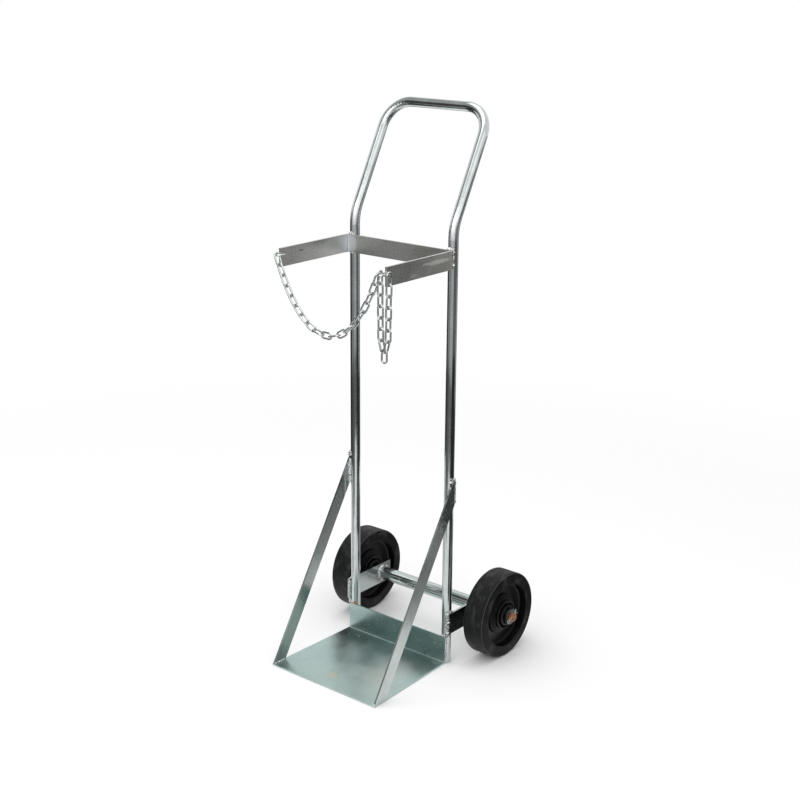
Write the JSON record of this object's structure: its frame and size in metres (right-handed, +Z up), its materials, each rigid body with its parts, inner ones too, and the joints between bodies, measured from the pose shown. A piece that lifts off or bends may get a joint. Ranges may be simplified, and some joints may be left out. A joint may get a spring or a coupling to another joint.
{
  "type": "gas cylinder trolley",
  "caption": "Two-wheeled gas cylinder trolley: bent tube frame with a hoop handle, folded toe plate, side braces, a cradle strap and a securing chain.",
  "frame": {"origin": "middle of the toe plate's underside, on the floor", "axes": "+Z up along the uprights, -Y to the front over the toe plate's open edge, +X towards the wheel at the picture's right"},
  "size_m": [0.49, 0.4846, 1.25],
  "materials": {
    "zinc": "bright zinc plate, mottled",
    "strap_steel": "zinc plated hot rolled flat bar, satin",
    "axle_steel": "bare steel bar with light rust on its ends",
    "chain_steel": "zinc plated welded chain",
    "tyre_rubber": "solid black rubber, satin",
    "wheel_plastic": "black moulded wheel centre",
    "bush_bronze": "plain bearing bush"
  },
  "bodies": {
    "trolley": {"frame_tube": "zinc", "toe_plate": "zinc", "brace_left": "zinc", "brace_right": "zinc", "cradle_strap": "strap_steel", "axle_bracket_left": "zinc", "axle_bracket_right": "zinc", "axle_tube": "zinc", "axle_rod": "axle_steel", "inner_washer_left": "zinc", "inner_washer_right": "zinc", "outer_washer_left": "zinc", "outer_washer_right": "zinc", "split_pin_left": "zinc", "split_pin_right": "zinc", "chain_anchor": "zinc", "chain_peg": "zinc"},
    "wheel_left": {"tyre_left": "tyre_rubber", "wheel_centre_left": "wheel_plastic", "bush_left": "bush_bronze"},
    "wheel_right": {"tyre_right": "tyre_rubber", "wheel_centre_right": "wheel_plastic", "bush_right": "bush_bronze"},
    "hanging_chain": {"chain_swag": "chain_steel"},
    "spare_chain": {"chain_tail": "chain_steel"}
  },
  "joints": [
    {"name": "wheel_left_spin", "type": "hinge", "parent": "trolley", "child": "wheel_left", "pos_m": [-0.199, 0.2546, 0.1], "axis": [1, 0, 0], "continuous": true},
    {"name": "wheel_right_spin", "type": "hinge", "parent": "trolley", "child": "wheel_right", "pos_m": [0.199, 0.2546, 0.1], "axis": [1, 0, 0], "continuous": true},
    {"name": "chain_swing", "type": "hinge", "parent": "trolley", "child": "hanging_chain", "pos_m": [0.145, -0.1125, 0.9445], "axis": [-0.9992, 0.0396, 0], "range_deg": [-3, 75]},
    {"name": "spare_chain_swing", "type": "hinge", "parent": "trolley", "child": "spare_chain", "pos_m": [0.145, -0.094, 0.943], "axis": [-1, 0, 0], "range_deg": [-40, 2]}
  ]
}
